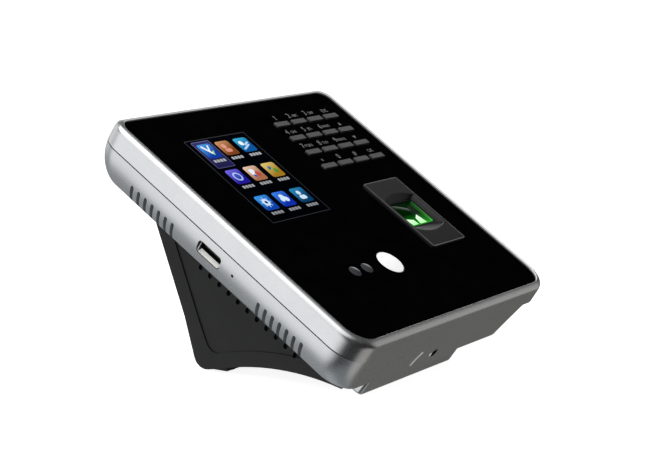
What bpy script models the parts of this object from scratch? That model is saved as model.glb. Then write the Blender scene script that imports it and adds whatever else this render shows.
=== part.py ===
"""Fingerprint scanner terminal on its desk stand.

Driving dimensions are millimetres.  The terminal is drawn in its own panel
frame (x to the right, y up the panel, z out of the glass, origin at the
middle of the glass) and then tipped back by TILT.  The stand is drawn in the
upright frame.  Both share one origin until the last step, which puts the
whole assembly on the ground with its origin at the bottom centre.
"""
from math import cos, hypot, pi, radians, sin

import bmesh
import bpy
from mathutils import Matrix, Vector

MM = 0.001
TILT = radians(33.5)
GAP = 0.3                                   # clearance between separate pieces

# front glass and housings, seen from the front
GLASS_W, GLASS_H, GLASS_T = 160.5, 148.0, 2.0
HALF_W, HALF_H = 83.75, 77.5
GLASS_R, GLASS_TOP_R = 8.5, 5.5               # the upper corners are tighter
CORNER_R, TOP_R = 14.0, 10.5
LIP_Z = 0.85                                # lip of the front housing over the glass
SEAM_Z = -9.2
WALL = 2.4
PLATE_TOP, PLATE_T = -GLASS_T - GAP, 1.5    # face plate behind the glass
REAR_Z = -27.25
CAVITY_Z = REAR_Z + WALL

# mounting section that stands out of the rear face
BOSS_X0, BOSS_X1, BOSS_TOP, BOSS_Z = -54.1, 22.9, 50.0, -34.6
BAY_X0, BAY_X1, BAY_Y0, BAY_Y1 = -30.0, 12.0, -40.0, -6.0
HOOKS, HOOK_Y = (-38.0, 6.0), 40.0

# keypad
KEY_NAMES = ("1", "2", "3", "escape", "4", "5", "6", "up",
             "7", "8", "9", "down", "star", "0", "hash", "menu")
KEY_X0, KEY_Y0, KEY_DX, KEY_DY = 22.1, 56.0, 13.9, 10.6
KEY_W, KEY_H, KEY_PROUD, KEY_TRAVEL = 10.4, 3.0, 0.7, 0.7

# screen, fingerprint reader, face camera
LCD_X, LCD_Y, LCD_W, LCD_H = -32.05, 26.95, 44.9, 56.7
FINGER_X, FINGER_Y, FINGER_W, FINGER_H, FINGER_R = 43.6, -15.1, 29.2, 46.2, 1.3
WELL_Y, WINDOW_W, WINDOW_H, WINDOW_Z = -0.4, 23.2, 16.2, -1.6
LENSES = (("left", -37.3), ("right", -27.9))
LENS_Y, LENS_R = -38.2, 3.1
DISC_X, DISC_Y, DISC_R = -9.5, -38.8, 6.7

# left wall: two vent groups, USB socket, reset hole
VENT_TOPS, VENT_COUNT, VENT_PITCH = (51.8, -27.0), 7, 4.28
VENT_TOP, VENT_END, VENT_W = -17.2, -25.9, 1.8
USB_Y, USB_Z, USB_W, USB_H = 4.0, -16.6, 13.1, 5.7
RESET_Y, RESET_Z = -10.4, -16.2
SCREW_X, SCREW_Z = -4.1, -22.2              # security screw in the lower wall

# boards
BOARD_TOP, BOARD_T = -11.8, 1.6
BOARD_BACK = BOARD_TOP - BOARD_T

# stand, upright frame, measured from the middle of the glass
GROUND_Z = -70.25
CHEEK_T = 2.0
CHEEK_LEFT, CHEEK_RIGHT = -56.5, 23.0
ARCH_Y, ARCH_TOP, ARCH_R = -5.0, -64.0, 131.0
DECK_TOP, DECK_T = -36.6, 2.2
FOOT_Y, FOOT_R, FOOT_T = 30.5, 4.5, 0.9

CORNER_STEPS = 6
ROUND_STEPS = 24                            # sides of a round face that shows
SMALL_STEPS = 12                            # sides of screws, posts and hidden holes

for old in list(bpy.data.objects):
    bpy.data.objects.remove(old, do_unlink=True)

PARTS = bpy.data.collections.new("fingerprint_scanner_terminal")
CUTTERS = bpy.data.collections.new("cutters")
for holder in (PARTS, CUTTERS):
    bpy.context.scene.collection.children.link(holder)

TIPPED = []                                 # objects drawn in the panel frame


# ---------------------------------------------------------------- materials
def material(name, colour, roughness, metallic=0.0):
    made = bpy.data.materials.new(name)
    made.use_nodes = True
    shader = made.node_tree.nodes["Principled BSDF"]
    shader.inputs["Base Color"].default_value = (*colour, 1.0)
    shader.inputs["Roughness"].default_value = roughness
    shader.inputs["Metallic"].default_value = metallic
    return made


SILVER = material("silver_paint", (0.72, 0.74, 0.76), 0.35, 0.6)
BLACK_GLASS = material("black_glass", (0.005, 0.005, 0.006), 0.06)
SCREEN = material("screen", (0.02, 0.03, 0.06), 0.2)
KEY_GREY = material("key_grey", (0.30, 0.31, 0.32), 0.4)
SILICONE = material("silicone", (0.25, 0.26, 0.27), 0.7)
BOARD = material("circuit_board", (0.02, 0.16, 0.07), 0.5)
BEZEL = material("bezel_grey", (0.035, 0.035, 0.037), 0.5)
PRISM = material("green_prism", (0.05, 0.45, 0.08), 0.1)
WHITE = material("white_diffuser", (0.9, 0.9, 0.9), 0.4)
LENS = material("lens", (0.02, 0.02, 0.03), 0.08)
STEEL = material("steel", (0.6, 0.6, 0.61), 0.3, 1.0)
CHIP = material("chip_black", (0.02, 0.02, 0.02), 0.5)
FLEX = material("flex_film", (0.45, 0.22, 0.05), 0.5)
STAND = material("stand_black", (0.02, 0.02, 0.02), 0.55)
RUBBER = material("rubber", (0.015, 0.015, 0.015), 0.9)


# ------------------------------------------------------------ solid makers
def add_object(name, bm, look=None, tipped=True):
    """Turns a bmesh in mm into a named object; with no look it is a cutter."""
    bmesh.ops.recalc_face_normals(bm, faces=bm.faces)
    bmesh.ops.scale(bm, vec=(MM, MM, MM), verts=bm.verts)
    mesh = bpy.data.meshes.new(name)
    bm.to_mesh(mesh)
    bm.free()
    obj = bpy.data.objects.new(name, mesh)
    if look is None:
        CUTTERS.objects.link(obj)
        obj.hide_render = True
        obj.display_type = "WIRE"
    else:
        PARTS.objects.link(obj)
        mesh.materials.append(look)
    if tipped:
        TIPPED.append(obj)
    return obj


def add_loft(bm, rings):
    """Skins equal-length rings of points and closes both ends."""
    loops = [[bm.verts.new(point) for point in ring] for ring in rings]
    for low, high in zip(loops, loops[1:]):
        for i in range(len(low)):
            j = (i + 1) % len(low)
            bm.faces.new((low[i], low[j], high[j], high[i]))
    bm.faces.new(reversed(loops[0]))
    bm.faces.new(loops[-1])


def loft(name, rings, look=None, tipped=True):
    bm = bmesh.new()
    add_loft(bm, rings)
    return add_object(name, bm, look, tipped)


def rounded_ring(x0, x1, y0, y1, radius, z, upper=None):
    """Rounded rectangle at height z; a zero radius gives four points.

    The upper two corners may have a radius of their own.
    """
    if radius <= 0:
        return [(x0, y0, z), (x1, y0, z), (x1, y1, z), (x0, y1, z)]
    upper = radius if upper is None else upper
    centres = ((x1 - radius, y0 + radius, radius, -90), (x1 - upper, y1 - upper, upper, 0),
               (x0 + upper, y1 - upper, upper, 90), (x0 + radius, y0 + radius, radius, 180))
    ring = []
    for cx, cy, bend, start in centres:
        for step in range(CORNER_STEPS + 1):
            angle = radians(start + 90 * step / CORNER_STEPS)
            ring.append((cx + bend * cos(angle), cy + bend * sin(angle), z))
    return ring


def block_rings(cx, cy, width, height, z0, z1, radius=0.0, upper=None):
    half_w, half_h = width / 2, height / 2
    return [rounded_ring(cx - half_w, cx + half_w, cy - half_h, cy + half_h, radius, z, upper)
            for z in (z0, z1)]


def block(name, cx, cy, width, height, z0, z1, look=None, radius=0.0, tipped=True, upper=None):
    return loft(name, block_rings(cx, cy, width, height, z0, z1, radius, upper), look, tipped)


def turned_rings(centre, axis, profile, steps=SMALL_STEPS):
    """Rings of a turned shape; profile lists (distance along axis, radius)."""
    turn = Vector((0, 0, 1)).rotation_difference(Vector(axis))
    rings = []
    for along, radius in profile:
        ring = []
        for step in range(steps):
            angle = 2 * pi * step / steps
            point = Vector((radius * cos(angle), radius * sin(angle), along))
            ring.append(Vector(centre) + turn @ point)
        rings.append(ring)
    return rings


def turned(name, centre, axis, profile, look=None, tipped=True, steps=SMALL_STEPS):
    return loft(name, turned_rings(centre, axis, profile, steps), look, tipped)


def many(name, ring_sets):
    """One cutter made of several separate solids."""
    bm = bmesh.new()
    for rings in ring_sets:
        add_loft(bm, rings)
    return add_object(name, bm)


def slab_rings(outline, x0, x1):
    """A (y, z) outline pushed along x."""
    return [[(x, y, z) for y, z in outline] for x in (x0, x1)]


def strip_outline(path, thickness):
    """Outline of a bent sheet whose outer face follows a (y, z) path."""
    inner = []
    for i, (y, z) in enumerate(path):
        before = path[max(i - 1, 0)]
        after = path[min(i + 1, len(path) - 1)]
        first = Vector((y - before[0], z - before[1]))
        second = Vector((after[0] - y, after[1] - z))
        first = first.normalized() if first.length else second.normalized()
        second = second.normalized() if second.length else first
        normal = (Vector((-first.y, first.x)) + Vector((-second.y, second.x))).normalized()
        reach = thickness / max(normal.dot(Vector((-first.y, first.x))), 0.3)
        inner.append((y + normal.x * reach, z + normal.y * reach))
    return list(path) + inner[::-1]


def combine(target, tool, operation):
    step = target.modifiers.new(f"{operation.lower()} {tool.name}", "BOOLEAN")
    step.object = tool
    step.operation = operation
    step.solver = "EXACT"


def cut(target, *tools):
    for tool in tools:
        combine(target, tool, "DIFFERENCE")


def join(target, *tools):
    for tool in tools:
        combine(target, tool, "UNION")


# ---------------------------------------------------------------- housings
# depth behind the glass, then how far each wall has drawn in at that depth
SHOULDER = ((SEAM_Z, 0.0), (-3.2, 0.0), (-1.7, 0.15), (-0.6, 0.6), (0.1, 1.15),
            (0.6, 1.85), (LIP_Z, 2.6))
REAR_PROFILE = (                            # z, left and top, right, bottom
    (SEAM_Z - GAP, 0.0, 6.2, 0.0),
    (-13.2, 0.5, 8.8, 0.2),
    (-16.3, 1.2, 11.0, 0.4),
    (-19.4, 2.3, 13.2, 0.6),
    (-22.0, 3.6, 15.0, 0.8),
    (-24.1, 5.0, 16.5, 0.9),
    (-25.5, 6.3, 17.5, 1.0),
    (-26.3, 7.7, 18.1, 1.1),
    (-26.95, 9.5, 18.8, 1.4),
    (REAR_Z, 12.0, 20.0, 2.2))


def front_ring(inset, z):
    return rounded_ring(-HALF_W + inset, HALF_W - inset, -HALF_H + inset,
                        HALF_H - inset, CORNER_R - inset, z, TOP_R - inset)


def rear_ring(side, right, bottom, z, extra=0.0):
    return rounded_ring(-HALF_W + side + extra, HALF_W - right - extra,
                        -HALF_H + bottom + extra, HALF_H - side - extra,
                        CORNER_R - 0.3 * side - 0.5 * extra, z,
                        TOP_R - 0.3 * side - 0.5 * extra)


front_housing = loft("front_housing", [front_ring(i, z) for z, i in SHOULDER], SILVER)
cut(front_housing,
    block("glass_pocket", 0, 0, GLASS_W + 2 * GAP, GLASS_H + 2 * GAP, PLATE_TOP, 5,
          radius=GLASS_R + GAP, upper=GLASS_TOP_R + GAP),
    loft("front_cavity", [front_ring(WALL, SEAM_Z - 1),
                          front_ring(WALL, PLATE_TOP - PLATE_T)]),
    block("screen_window", LCD_X, LCD_Y, LCD_W + 2, LCD_H + 2, -8, 0, radius=1.5),
    block("keypad_window", KEY_X0 + 1.5 * KEY_DX, KEY_Y0 - 1.5 * KEY_DY,
          3 * KEY_DX + KEY_W + 4, 3 * KEY_DY + KEY_H + 4, -8, 0, radius=2),
    block("finger_window", FINGER_X, FINGER_Y, FINGER_W + 1, FINGER_H + 1, -8, 0, radius=3),
    many("camera_windows",
         [turned_rings((x, LENS_Y, -8), (0, 0, 1), ((0, 4.0), (8, 4.0))) for _, x in LENSES]
         + [turned_rings((DISC_X, DISC_Y, -8), (0, 0, 1), ((0, 8.0), (8, 8.0)))]))

CASE_SCREWS = (("upper_left", -64.0, 66.5), ("upper_right", 54.0, 66.5),
               ("lower_left", -64.0, -60.0), ("lower_right", 54.0, -60.0))
for corner, x, y in CASE_SCREWS:
    join(front_housing,
         turned("front_post_" + corner, (x, y, PLATE_TOP - PLATE_T + 0.5), (0, 0, -1),
                ((0, 3.6), (5.4, 3.6))))
cut(front_housing,
    many("front_post_holes", [turned_rings((x, y, SEAM_Z - 1), (0, 0, 1), ((0, 1.6), (5.0, 1.6)))
                              for _, x, y in CASE_SCREWS]))

rear_housing = loft("rear_housing",
                    [rear_ring(side, right, bottom, z)
                     for z, side, right, bottom in reversed(REAR_PROFILE)], SILVER)
LOWER_EDGE = -HALF_H + 1.0                  # lower wall at the rear edge, still drafting
join(rear_housing,
     loft("boss", [rounded_ring(BOSS_X0 + i, BOSS_X1 - i, LOWER_EDGE + drop, BOSS_TOP - i, 2.0, z)
                   for z, i, drop in ((BOSS_Z, 1.2, 1.5), (BOSS_Z + 0.4, 0.5, 0.9),
                                      (BOSS_Z + 1.2, 0.0, 0.45), (REAR_Z + 2.0, 0.0, 0.0))]))
cut(rear_housing,
    loft("rear_cavity", [rear_ring(side, right, bottom, z, WALL)
                         for z, side, right, bottom in
                         ((CAVITY_Z, 7.0, 17.2, 1.1), (-22.0, 3.8, 15.0, 0.8),
                          (-16.0, 1.2, 11.0, 0.4), (SEAM_Z, 0.0, 6.2, 0.0))]),
    block("boss_cavity", (BOSS_X0 + BOSS_X1) / 2, (LOWER_EDGE + BOSS_TOP) / 2,
          BOSS_X1 - BOSS_X0 - 2 * WALL, BOSS_TOP - LOWER_EDGE - 2 * WALL - 1,
          BOSS_Z + WALL, CAVITY_Z + 1, radius=1.5),
    block("bay_opening", (BAY_X0 + BAY_X1) / 2, (BAY_Y0 + BAY_Y1) / 2,
          BAY_X1 - BAY_X0, BAY_Y1 - BAY_Y0, BOSS_Z - 1, BOSS_Z + WALL + 1, radius=3))
for corner, x, y in CASE_SCREWS:
    join(rear_housing,
         turned("rear_post_" + corner, (x, y, CAVITY_Z - 0.5), (0, 0, 1),
                ((0, 4.2), (SEAM_Z - 0.6 - CAVITY_Z + 0.5, 4.2))))


def vent_rings(y):
    """One slot with round ends, pushed in through the left wall."""
    half, outline = VENT_W / 2, []
    for centre, start in ((VENT_TOP - half, 0), (VENT_END + half, 180)):
        for step in range(7):
            angle = radians(start + 30 * step)
            outline.append((y + half * cos(angle), centre + half * sin(angle)))
    return slab_rings(outline, -HALF_W - 2, -HALF_W + 8.0)


def usb_outline(width, height):
    return [(USB_Y + dy, USB_Z + dz) for dy, dz, _ in
            rounded_ring(-width / 2, width / 2, -height / 2, height / 2, 0.8, 0)]


cut(rear_housing,
    many("screw_ways", [turned_rings((x, y, REAR_Z - 1), (0, 0, 1),
                                     ((0, 3.1), (2.9, 3.1), (2.9, 1.7), (20, 1.7)))
                        for _, x, y in CASE_SCREWS]),
    many("vent_slots", [vent_rings(first - n * VENT_PITCH)
                        for first in VENT_TOPS for n in range(VENT_COUNT)]),
    loft("usb_cutout", slab_rings(usb_outline(14.0, 6.6), -HALF_W - 2, -HALF_W + 7)),
    turned("reset_hole", (-HALF_W - 2, RESET_Y, RESET_Z), (1, 0, 0), ((0, 0.75), (9, 0.75))),
    turned("security_hole", (SCREW_X, -HALF_H - 2, SCREW_Z), (0, 1, 0),
           ((0, 3.6), (3.6, 1.8), (8, 1.8))),
    block("flange_slot", SCREW_X, -HALF_H + 6.0, 17.0, 3.0, BOSS_Z - 1, BOSS_Z + WALL + 1),
    many("hook_slots", [block_rings(x, HOOK_Y, 13.0, 6.0, BOSS_Z - 1, BOSS_Z + WALL + 1)
                        for x in HOOKS]),
    turned("tamper_hole", (-44.0, 20.0, BOSS_Z - 1), (0, 0, 1), ((0, 2.3), (5, 2.3))))

for corner, x, y in CASE_SCREWS:
    turned("case_screw_" + corner, (x, y, REAR_Z + 0.2), (0, 0, 1),
           ((0, 2.6), (1.4, 2.6), (1.4, 1.3), (18.5, 1.3)), STEEL)

# ------------------------------------------------------------- front glass
front_glass = block("front_glass", 0, 0, GLASS_W, GLASS_H, -GLASS_T, 0, BLACK_GLASS, GLASS_R,
                    upper=GLASS_TOP_R)
KEYS = [(name, KEY_X0 + KEY_DX * (i % 4), KEY_Y0 - KEY_DY * (i // 4))
        for i, name in enumerate(KEY_NAMES)]
cut(front_glass,
    many("key_slots", [block_rings(x, y, KEY_W + 2 * GAP, KEY_H + 2 * GAP, -3, 1)
                       for _, x, y in KEYS]),
    block("finger_opening", FINGER_X, FINGER_Y, FINGER_W + 2 * GAP, FINGER_H + 2 * GAP, -3, 1,
          radius=FINGER_R + GAP),
    many("lens_openings",
         [turned_rings((x, y, -3), (0, 0, 1), ((0, radius), (4, radius)), ROUND_STEPS)
          for x, y, radius in [(x, LENS_Y, LENS_R + GAP) for _, x in LENSES]
          + [(DISC_X, DISC_Y, DISC_R + GAP)]]))

# ------------------------------------------------------------------ keypad
FLANGE_TOP = -GLASS_T - GAP
FLANGE_LOW = FLANGE_TOP - 0.8
STEM_LOW = FLANGE_LOW - 1.0
MAT_TOP = STEM_LOW - KEY_TRAVEL - 0.9
for name, x, y in KEYS:
    bm = bmesh.new()
    sections = ((STEM_LOW, 6.0, 1.8), (FLANGE_LOW, 6.0, 1.8), (FLANGE_LOW, 13.0, 4.6),
                (FLANGE_TOP, 13.0, 4.6), (FLANGE_TOP, KEY_W, KEY_H),
                (KEY_PROUD - 0.3, KEY_W, KEY_H), (KEY_PROUD, KEY_W - 0.6, KEY_H - 0.6))
    add_loft(bm, [rounded_ring(x - w / 2, x + w / 2, y - h / 2, y + h / 2, 0, z)
                  for z, w, h in sections])
    add_object("key_" + name, bm, KEY_GREY)

keypad_mat = block("keypad_mat", KEY_X0 + 1.5 * KEY_DX, KEY_Y0 - 1.5 * KEY_DY,
                   58.0, 43.0, MAT_TOP - 0.8, MAT_TOP, SILICONE)
for name, x, y in KEYS:
    join(keypad_mat, turned("dome_" + name, (x, y, MAT_TOP - 0.4), (0, 0, 1),
                            ((0, 2.6), (0.5, 2.6), (1.1, 1.4))))
keypad_board = block("keypad_board", KEY_X0 + 1.5 * KEY_DX, KEY_Y0 - 1.5 * KEY_DY,
                     60.0, 43.0, MAT_TOP - 2.3, MAT_TOP - 1.1, BOARD)

# ------------------------------------------------------------------ screen
lcd_module = block("lcd_module", LCD_X, LCD_Y, LCD_W + 1.2, LCD_H + 1.2, -5.6, -GLASS_T - GAP,
                   SCREEN, 1.0)
ribbon_path = ((18.0, -5.9), (4.0, -5.9), (1.4, -7.4), (1.4, -9.6), (4.0, -11.1), (9.0, -11.1))
loft("lcd_ribbon", slab_rings(strip_outline(ribbon_path, 0.25), LCD_X - 9, LCD_X + 9), FLEX)

# ------------------------------------------------------ fingerprint reader
FINGER_TOP = 0.9
finger_bezel = loft(
    "fingerprint_bezel",
    [rounded_ring(FINGER_X - FINGER_W / 2 + i, FINGER_X + FINGER_W / 2 - i,
                  FINGER_Y - FINGER_H / 2 + i, FINGER_Y + FINGER_H / 2 - i, FINGER_R, z)
     for z, i in ((-5.4, 0.0), (FINGER_TOP - 0.5, 0.0), (FINGER_TOP, 0.6))], BEZEL)
well_centre = FINGER_Y + WELL_Y
cut(finger_bezel,
    loft("finger_well", [rounded_ring(FINGER_X - w / 2, FINGER_X + w / 2,
                                      well_centre - low, well_centre + high, r, z)
                         for z, w, low, high, r in
                         ((WINDOW_Z, 23.4, 7.4, 10.2, 2.5), (-0.4, 24.4, 11.0, 11.6, 7.0),
                          (FINGER_TOP + 0.3, 26.0, 14.0, 12.9, 10.0))]),
    block("prism_opening", FINGER_X, well_centre + 1.4, WINDOW_W - 0.6, WINDOW_H - 0.6, -7, 0))
block("fingerprint_window", FINGER_X, well_centre + 1.4, WINDOW_W - 1.2, WINDOW_H - 1.2,
      -5.2, WINDOW_Z - 0.2, PRISM)
block("fingerprint_module", FINGER_X, FINGER_Y, 25.0, 38.0, -21.0, -5.7, CHIP)
ribbon_path = ((FINGER_Y - 8, -21.6), (FINGER_Y + 8, -21.6))
loft("fingerprint_ribbon",
     slab_rings(strip_outline(ribbon_path, 0.3), 20.0, FINGER_X), FLEX)

# ----------------------------------------------------- camera and its light
for side, x in LENSES:
    turned("camera_lens_" + side, (x, LENS_Y, -8.6), (0, 0, 1),
           ((0, 3.6), (4.6, 3.6), (4.6, LENS_R), (8.0, LENS_R), (8.3, LENS_R - 0.5)), LENS,
           steps=ROUND_STEPS)
turned("illuminator_window", (DISC_X, DISC_Y, -3.5), (0, 0, 1),
       ((0, 7.6), (1.1, 7.6), (1.1, DISC_R), (3.4, DISC_R)), WHITE, steps=ROUND_STEPS)
block("camera_board", (LENSES[0][1] + DISC_X) / 2, LENS_Y, 46.0, 16.0, -10.2, -9.0, BOARD)
block("illuminator_led", DISC_X, DISC_Y, 5.0, 5.0, -8.7, -7.4, WHITE)

# ----------------------------------------------------------- main board
main_board = block("main_board", -26.0, 3.0, 98.0, 96.0, BOARD_BACK, BOARD_TOP, BOARD, 2.0)
PART_TOP = BOARD_BACK - GAP
block("processor_chip", -15.0, 28.0, 18.0, 18.0, PART_TOP - 1.6, PART_TOP, CHIP)
turned("clock_battery", (-46.0, 44.0, PART_TOP), (0, 0, -1), ((0, 10.0), (3.2, 10.0)), STEEL,
       steps=ROUND_STEPS)
turned("speaker", (46.0, 42.0, -14.0), (0, 0, -1), ((0, 14.0), (2.0, 14.0), (5.5, 9.0)), CHIP,
       steps=ROUND_STEPS)

network_jack = block("network_jack", -20.0, 5.0, 16.0, 21.0, PART_TOP - 13.5, PART_TOP, STEEL)
cut(network_jack, block("network_mouth", -20.0, -4.0, 12.0, 24.0, PART_TOP - 11.0, PART_TOP - 3.0))
power_jack = block("power_jack", 4.0, 1.0, 9.0, 13.0, PART_TOP - 11.0, PART_TOP, CHIP)
cut(power_jack, turned("power_bore", (4.0, -7.0, PART_TOP - 6.0), (0, 1, 0), ((0, 3.2), (11, 3.2))))

usb_socket = loft("usb_socket", slab_rings(usb_outline(USB_W, USB_H), -80.9, -63.5), STEEL)
cut(usb_socket, loft("usb_mouth", slab_rings(usb_outline(USB_W - 0.8, USB_H - 0.8), -82, -65)))
join(usb_socket, loft("usb_tongue", [[(x, USB_Y + dy, USB_Z + dz) for dy, dz in
                                      ((-5.5, -0.2), (5.5, -0.2), (5.5, 1.6), (-5.5, 1.6))]
                                     for x in (-79.6, -64.5)]))

reset_switch = block("reset_switch", -71.0, RESET_Y, 4.0, 6.0, PART_TOP - 5.0, PART_TOP, CHIP)
cut(reset_switch, turned("reset_bore", (-74, RESET_Y, RESET_Z), (1, 0, 0), ((0, 1.2), (4, 1.2))))
turned("reset_button", (-75.4, RESET_Y, RESET_Z), (1, 0, 0), ((0, 0.9), (4.6, 0.9)), KEY_GREY)

tamper_switch = block("tamper_switch", -44.0, 20.0, 6.5, 6.5, PART_TOP - 10.0, PART_TOP, CHIP)
cut(tamper_switch, turned("tamper_bore", (-44, 20, PART_TOP - 11), (0, 0, 1), ((0, 2.1), (7, 2.1))))
turned("tamper_plunger", (-44.0, 20.0, BOSS_Z - 0.1), (0, 0, 1),
       ((0, 1.3), (0.5, 1.8), (PART_TOP - 6.2 - BOSS_Z, 1.8)), WHITE)

# --------------------------------------------------------- mounting plate
PLATE_Z = BOSS_Z - GAP
mounting_plate = block("mounting_plate", -16.0, -10.0, 68.0, 108.0, PLATE_Z - 1.2, PLATE_Z,
                       STEEL, 3.0)
join(mounting_plate,
     block("flange", SCREW_X, -HALF_H + 6.0, 14.0, 1.4, PLATE_Z - 0.6, -16.0),
     block("flange_foot", SCREW_X, -HALF_H + 9.5, 14.0, 8.4, PLATE_Z - 1.2, PLATE_Z))
for x in HOOKS:
    join(mounting_plate,
         block(f"hook_stem_{x:.0f}", x, HOOK_Y - 1.5, 10.0, 1.4, PLATE_Z - 0.6, BOSS_Z + WALL + 2.0),
         block(f"hook_lip_{x:.0f}", x, HOOK_Y + 0.3, 10.0, 5.0, BOSS_Z + WALL + 0.6,
               BOSS_Z + WALL + 2.0))
PLATE_SCREWS = ((-40.0, -30.0), (14.0, -52.0), (-40.0, 30.0), (14.0, 26.0))
cut(mounting_plate,
    block("plate_window", (BAY_X0 + BAY_X1) / 2, (BAY_Y0 + BAY_Y1) / 2,
          BAY_X1 - BAY_X0 - 2, BAY_Y1 - BAY_Y0 - 2, PLATE_Z - 2, PLATE_Z + 1, radius=3),
    turned("flange_thread", (SCREW_X, -HALF_H + 4, SCREW_Z), (0, 1, 0), ((0, 1.6), (4, 1.6))),
    many("plate_holes", [turned_rings((x, y, PLATE_Z - 2), (0, 0, 1), ((0, 1.6), (3, 1.6)))
                         for x, y in PLATE_SCREWS]))
turned("security_screw", (SCREW_X, -HALF_H + 2.6, SCREW_Z), (0, 1, 0), ((0, 1.3), (5.2, 1.3)),
       STEEL)

# -------------------------------------------------------------- desk stand
stand_deck = block("stand_deck", (CHEEK_LEFT + CHEEK_T + CHEEK_RIGHT) / 2, -9.0,
                   CHEEK_RIGHT - CHEEK_LEFT - CHEEK_T - 2 * GAP, 110.0,
                   DECK_TOP - DECK_T, DECK_TOP, STAND)
cut(stand_deck,
    block("deck_window", (BAY_X0 + BAY_X1) / 2, (BAY_Y0 + BAY_Y1) / 2,
          BAY_X1 - BAY_X0, BAY_Y1 - BAY_Y0, DECK_TOP - 4, DECK_TOP + 1, radius=3),
    many("deck_holes", [turned_rings((x, y, DECK_TOP - 4), (0, 0, 1), ((0, 1.6), (5, 1.6)))
                        for x, y in PLATE_SCREWS]))
for number, (x, y) in enumerate(PLATE_SCREWS, 1):
    turned(f"stand_screw_{number}", (x, y, DECK_TOP - DECK_T - GAP), (0, 0, 1),
           ((-1.6, 2.0), (-0.9, 2.8), (0, 2.8), (0, 1.3), (3.4, 1.3)), STEEL)


def upright(down, depth):
    """Panel distance below the middle and depth behind the glass, as (y, z)."""
    return (-down * cos(TILT) + depth * sin(TILT), -down * sin(TILT) - depth * cos(TILT))


def fillet(corner, before, after, radius, steps=6):
    """Points of the arc that rounds one corner of an outline."""
    c = Vector(corner)
    a, b = (Vector(before) - c).normalized(), (Vector(after) - c).normalized()
    half = a.angle(b) / 2
    centre = c + (a + b).normalized() * radius / sin(half)
    start = c + a * radius * cos(half) / sin(half) - centre
    turn = -(pi - 2 * half) if a.x * b.y - a.y * b.x > 0 else pi - 2 * half
    points = []
    for step in range(steps + 1):
        angle = turn * step / steps
        points.append((centre.x + start.x * cos(angle) - start.y * sin(angle),
                       centre.y + start.x * sin(angle) + start.y * cos(angle)))
    return points


def arch(y):
    """Height of the arched lower edge of a side plate."""
    return ARCH_TOP - ARCH_R + (ARCH_R ** 2 - (y - ARCH_Y) ** 2) ** 0.5


REAR_LINE = ((61.0, -5.0), (45.5, -46.2), (38.6, -69.65))
UNDER_TERMINAL = -REAR_Z + 0.4


def side_outline(border=0.0):
    """Side plate outline, or the panel inside its border, in (y, z)."""
    shift = border * 1.07
    top = upright(-61.5 + border, UNDER_TERMINAL - border)
    rear = [(y - shift, z) for y, z in REAR_LINE]
    foot = (rear[2][0], rear[2][1] - 0.4 + border)
    front_y = -37.0 + 1.2 * border
    lower = [(y, arch(y) + border) for y in
             [27.0 - border / 2 - n * (64.0 - border * 1.7) / 14 for n in range(15)]]
    outline = [top, rear[0], rear[1]]
    outline += fillet(foot, rear[1], lower[0], 6.5)
    outline += lower
    outline.append((front_y - 2.5, arch(-37.0) + 4.0 + 2 * border))
    outline.append(upright(67.5 - border, UNDER_TERMINAL - border))
    return outline


def cheek_slot_rings(n, x0, x1):
    """One of the short slots that follow the underside of the terminal."""
    down, half = -17.4 + 5.97 * n, 1.1
    outline = []
    for depth, start in ((40.1, 90), (34.0, 270)):
        for step in range(7):
            angle = radians(start - 30 * step) + pi
            outline.append(upright(down + half * sin(angle) * -1, depth + half * cos(angle) * -1))
    return [[(x, y, z) for y, z in outline] for x in (x0, x1)]


for side, x0, outer in (("left", CHEEK_LEFT, CHEEK_LEFT), ("right", CHEEK_RIGHT, CHEEK_RIGHT + CHEEK_T)):
    x1 = x0 + CHEEK_T
    cheek = loft("stand_side_" + side, slab_rings(side_outline(), x0, x1), STAND, tipped=False)
    depth = 0.6 if side == "left" else -0.6
    cut(cheek, loft("side_panel_" + side,
                    slab_rings(side_outline(7.0), outer - depth, outer + depth), tipped=False))
    bm = bmesh.new()
    for n in range(11):
        add_loft(bm, cheek_slot_rings(n, x0 - 1, x1 + 1))
    cut(cheek, add_object("side_slots_" + side, bm, tipped=False))

BASE_Z = GROUND_Z + FOOT_T + 0.2            # underside of the lip that carries the feet
BACK_PATH = [(REAR_LINE[0][0] - 1.9, REAR_LINE[0][1] - 4.4),
             (REAR_LINE[1][0] - 0.7, REAR_LINE[1][1])]
BACK_PATH += fillet((REAR_LINE[2][0] - 0.6, BASE_Z), REAR_LINE[1], (20.0, BASE_Z), 6.0)
BACK_PATH += [(24.0, BASE_Z)]
stand_back = loft("stand_back", slab_rings(strip_outline(BACK_PATH[::-1], 2.0),
                                           CHEEK_LEFT + CHEEK_T + GAP, CHEEK_RIGHT - GAP),
                  STAND, tipped=False)
cut(stand_back, block("cable_notch", (CHEEK_LEFT + CHEEK_T + CHEEK_RIGHT) / 2, 45.0, 24.0, 30.0,
                      -62.0, -50.0, radius=4, tipped=False))
for side, x in (("left", -46.0), ("right", 14.5)):
    turned("rubber_foot_" + side, (x, FOOT_Y, GROUND_Z), (0, 0, 1),
           ((0, FOOT_R - 0.3), (0.3, FOOT_R), (FOOT_T, FOOT_R)), RUBBER, tipped=False,
           steps=ROUND_STEPS)

# --------------------------------------------- tip the terminal, set it down
tip = Matrix.Rotation(TILT, 4, "X")
for obj in TIPPED:
    obj.matrix_world = tip

bpy.context.view_layer.update()
graph = bpy.context.evaluated_depsgraph_get()
points = [obj.matrix_world @ vertex.co for obj in PARTS.objects
          for vertex in obj.evaluated_get(graph).data.vertices]
low = [min(point[i] for point in points) for i in range(3)]
high = [max(point[i] for point in points) for i in range(3)]
home = Matrix.Translation((-(low[0] + high[0]) / 2, -(low[1] + high[1]) / 2, -low[2]))
for obj in list(PARTS.objects) + list(CUTTERS.objects):
    obj.matrix_world = home @ obj.matrix_world
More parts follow.
